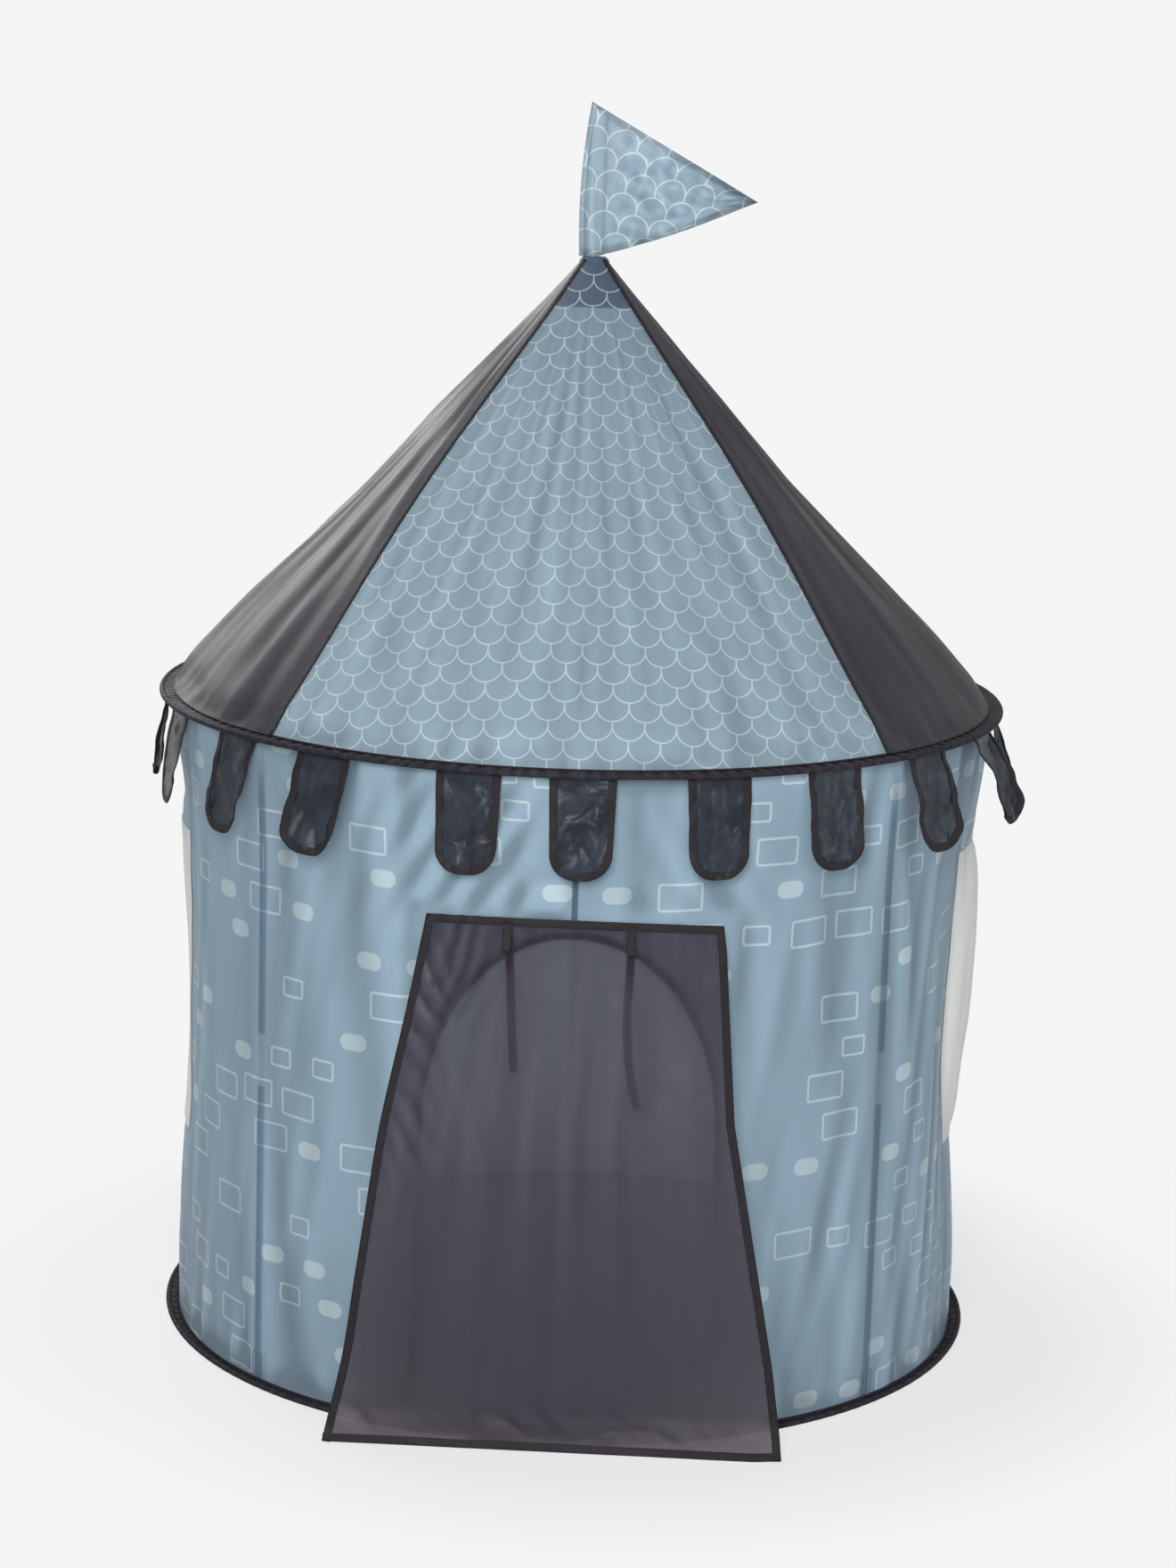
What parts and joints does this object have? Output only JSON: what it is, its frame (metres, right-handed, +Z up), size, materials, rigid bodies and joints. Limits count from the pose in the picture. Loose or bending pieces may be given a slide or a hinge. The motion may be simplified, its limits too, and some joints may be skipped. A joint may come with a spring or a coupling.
{
  "type": "castle play tent",
  "caption": "Round cloth play tent shaped like a castle tower, with a conical roof, merlon tabs, side windows of net, a lifting door flap and a pennant.",
  "frame": {"origin": "on the floor, at the centre of the floor hoop", "axes": "+Z up through the apex, -Y towards the door, +X to the right of someone who faces the door"},
  "size_m": [1.0517, 1.0455, 1.479],
  "materials": {
    "wall_print_cloth": "thin polyester, sky blue with pale outlined and filled blocks, slight sheen",
    "roof_print_cloth": "thin polyester, sky blue with pale fish-scale lines, slight sheen",
    "charcoal_cloth": "thin charcoal polyester, slight sheen",
    "charcoal_binding": "black folded binding tape, matte",
    "sleeve_cloth": "thin dark blue polyester",
    "door_cloth": "see-through charcoal polyester with black binding",
    "flag_cloth": "two layers of pale blue polyester with fish-scale lines",
    "floor_cloth": "dark coated polyester, matte",
    "white_net": "fine white net",
    "pole_rod": "black glass-fibre rod",
    "moulded_fitting": "black moulded plastic",
    "spring_steel": "spring-steel wire"
  },
  "bodies": {
    "tent": {"floor_sheet": "floor_cloth", "floor_hoop": "spring_steel", "eave_hoop": "spring_steel", "floor_hoop_casing": "charcoal_binding", "eave_hoop_casing": "charcoal_binding", "wall_panel_left": "wall_print_cloth", "wall_panel_right": "wall_print_cloth", "front_seam_tape": "charcoal_binding", "window_net_left": "white_net", "window_net_right": "white_net", "roof_gore_front": "roof_print_cloth", "roof_gore_back": "roof_print_cloth", "roof_gore_left": "charcoal_cloth", "roof_gore_right": "charcoal_cloth", "wall_pole_front_right": "pole_rod", "wall_pole_sleeve_front_right": "sleeve_cloth", "pole_elbow_front_right": "moulded_fitting", "roof_pole_front_right": "pole_rod", "roof_pole_sleeve_front_right": "charcoal_binding", "wall_pole_front_left": "pole_rod", "wall_pole_sleeve_front_left": "sleeve_cloth", "pole_elbow_front_left": "moulded_fitting", "roof_pole_front_left": "pole_rod", "roof_pole_sleeve_front_left": "charcoal_binding", "wall_pole_back_right": "pole_rod", "wall_pole_sleeve_back_right": "sleeve_cloth", "pole_elbow_back_right": "moulded_fitting", "roof_pole_back_right": "pole_rod", "roof_pole_sleeve_back_right": "charcoal_binding", "wall_pole_back_left": "pole_rod", "wall_pole_sleeve_back_left": "sleeve_cloth", "pole_elbow_back_left": "moulded_fitting", "roof_pole_back_left": "pole_rod", "roof_pole_sleeve_back_left": "charcoal_binding", "apex_hub": "moulded_fitting", "flag_rod": "pole_rod"},
    "door": {"door_flap": "door_cloth", "door_tie_left": "charcoal_binding", "door_tie_right": "charcoal_binding"},
    "pennant": {"flag": "flag_cloth"},
    "merlon_tab_01": {"merlon_01": "charcoal_cloth"},
    "merlon_tab_02": {"merlon_02": "charcoal_cloth"},
    "merlon_tab_03": {"merlon_03": "charcoal_cloth"},
    "merlon_tab_04": {"merlon_04": "charcoal_cloth"},
    "merlon_tab_05": {"merlon_05": "charcoal_cloth"},
    "merlon_tab_06": {"merlon_06": "charcoal_cloth"},
    "merlon_tab_07": {"merlon_07": "charcoal_cloth"},
    "merlon_tab_08": {"merlon_08": "charcoal_cloth"},
    "merlon_tab_09": {"merlon_09": "charcoal_cloth"},
    "merlon_tab_10": {"merlon_10": "charcoal_cloth"},
    "merlon_tab_11": {"merlon_11": "charcoal_cloth"},
    "merlon_tab_12": {"merlon_12": "charcoal_cloth"},
    "merlon_tab_13": {"merlon_13": "charcoal_cloth"},
    "merlon_tab_14": {"merlon_14": "charcoal_cloth"},
    "merlon_tab_15": {"merlon_15": "charcoal_cloth"},
    "merlon_tab_16": {"merlon_16": "charcoal_cloth"},
    "merlon_tab_17": {"merlon_17": "charcoal_cloth"},
    "merlon_tab_18": {"merlon_18": "charcoal_cloth"},
    "merlon_tab_19": {"merlon_19": "charcoal_cloth"},
    "merlon_tab_20": {"merlon_20": "charcoal_cloth"}
  },
  "joints": [
    {"name": "door_flap_lift", "type": "hinge", "parent": "tent", "child": "door", "pos_m": [0, -0.48374, 0.6], "axis": [-1, 0, 0], "range_deg": [0, 110]},
    {"name": "flag_swivel", "type": "hinge", "parent": "tent", "child": "pennant", "pos_m": [0, 0, 1.39], "axis": [0, 0, 1], "continuous": true},
    {"name": "merlon_01_swing", "type": "hinge", "parent": "tent", "child": "merlon_tab_01", "pos_m": [-0.15435, 0.47505, 0.7737], "axis": [0.9511, 0.309, 0], "range_deg": [-6, 71]},
    {"name": "merlon_02_swing", "type": "hinge", "parent": "tent", "child": "merlon_tab_02", "pos_m": [-0.2936, 0.4041, 0.7737], "axis": [0.809, 0.5878, 0], "range_deg": [-7, 70]},
    {"name": "merlon_03_swing", "type": "hinge", "parent": "tent", "child": "merlon_tab_03", "pos_m": [-0.4041, 0.2936, 0.7737], "axis": [0.5878, 0.809, 0], "range_deg": [-8, 69]},
    {"name": "merlon_04_swing", "type": "hinge", "parent": "tent", "child": "merlon_tab_04", "pos_m": [-0.47505, 0.15435, 0.7737], "axis": [0.309, 0.9511, 0], "range_deg": [-10, 67]},
    {"name": "merlon_05_swing", "type": "hinge", "parent": "tent", "child": "merlon_tab_05", "pos_m": [-0.49942, -0.00872, 0.7737], "axis": [-0.0175, 0.9998, 0], "range_deg": [-16, 61]},
    {"name": "merlon_06_swing", "type": "hinge", "parent": "tent", "child": "merlon_tab_06", "pos_m": [-0.47085, -0.16674, 0.7737], "axis": [-0.3338, 0.9426, 0], "range_deg": [-13, 64]},
    {"name": "merlon_07_swing", "type": "hinge", "parent": "tent", "child": "merlon_tab_07", "pos_m": [-0.38928, -0.31299, 0.7737], "axis": [-0.6266, 0.7793, 0], "range_deg": [-14, 63]},
    {"name": "merlon_08_swing", "type": "hinge", "parent": "tent", "child": "merlon_tab_08", "pos_m": [-0.28436, -0.41066, 0.7737], "axis": [-0.8221, 0.5693, 0], "range_deg": [-15, 62]},
    {"name": "merlon_09_swing", "type": "hinge", "parent": "tent", "child": "merlon_tab_09", "pos_m": [-0.11999, -0.48487, 0.7737], "axis": [-0.9707, 0.2402, 0], "range_deg": [-6, 71]},
    {"name": "merlon_10_swing", "type": "hinge", "parent": "tent", "child": "merlon_tab_10", "pos_m": [0.00523, -0.49947, 0.7737], "axis": [-0.9999, -0.0105, 0], "range_deg": [-5, 72]},
    {"name": "merlon_11_swing", "type": "hinge", "parent": "tent", "child": "merlon_tab_11", "pos_m": [0.15518, -0.47478, 0.7737], "axis": [-0.9505, -0.3107, 0], "range_deg": [-6, 71]},
    {"name": "merlon_12_swing", "type": "hinge", "parent": "tent", "child": "merlon_tab_12", "pos_m": [0.28579, -0.40967, 0.7737], "axis": [-0.8202, -0.5721, 0], "range_deg": [-6, 71]},
    {"name": "merlon_13_swing", "type": "hinge", "parent": "tent", "child": "merlon_tab_13", "pos_m": [0.39734, -0.30269, 0.7737], "axis": [-0.606, -0.7955, 0], "range_deg": [-12, 65]},
    {"name": "merlon_14_swing", "type": "hinge", "parent": "tent", "child": "merlon_tab_14", "pos_m": [0.47229, -0.16262, 0.7737], "axis": [-0.3256, -0.9455, 0], "range_deg": [-24, 53]},
    {"name": "merlon_15_swing", "type": "hinge", "parent": "tent", "child": "merlon_tab_15", "pos_m": [0.4995, 0, 0.7737], "axis": [0, -1, 0], "range_deg": [-14, 63]},
    {"name": "merlon_16_swing", "type": "hinge", "parent": "tent", "child": "merlon_tab_16", "pos_m": [0.47505, 0.15435, 0.7737], "axis": [0.309, -0.9511, 0], "range_deg": [-10, 67]},
    {"name": "merlon_17_swing", "type": "hinge", "parent": "tent", "child": "merlon_tab_17", "pos_m": [0.4041, 0.2936, 0.7737], "axis": [0.5878, -0.809, 0], "range_deg": [-8, 69]},
    {"name": "merlon_18_swing", "type": "hinge", "parent": "tent", "child": "merlon_tab_18", "pos_m": [0.2936, 0.4041, 0.7737], "axis": [0.809, -0.5878, 0], "range_deg": [-7, 70]},
    {"name": "merlon_19_swing", "type": "hinge", "parent": "tent", "child": "merlon_tab_19", "pos_m": [0.15435, 0.47505, 0.7737], "axis": [0.9511, -0.309, 0], "range_deg": [-6, 71]},
    {"name": "merlon_20_swing", "type": "hinge", "parent": "tent", "child": "merlon_tab_20", "pos_m": [0, 0.4995, 0.7737], "axis": [1, 0, 0], "range_deg": [-6, 71]}
  ]
}
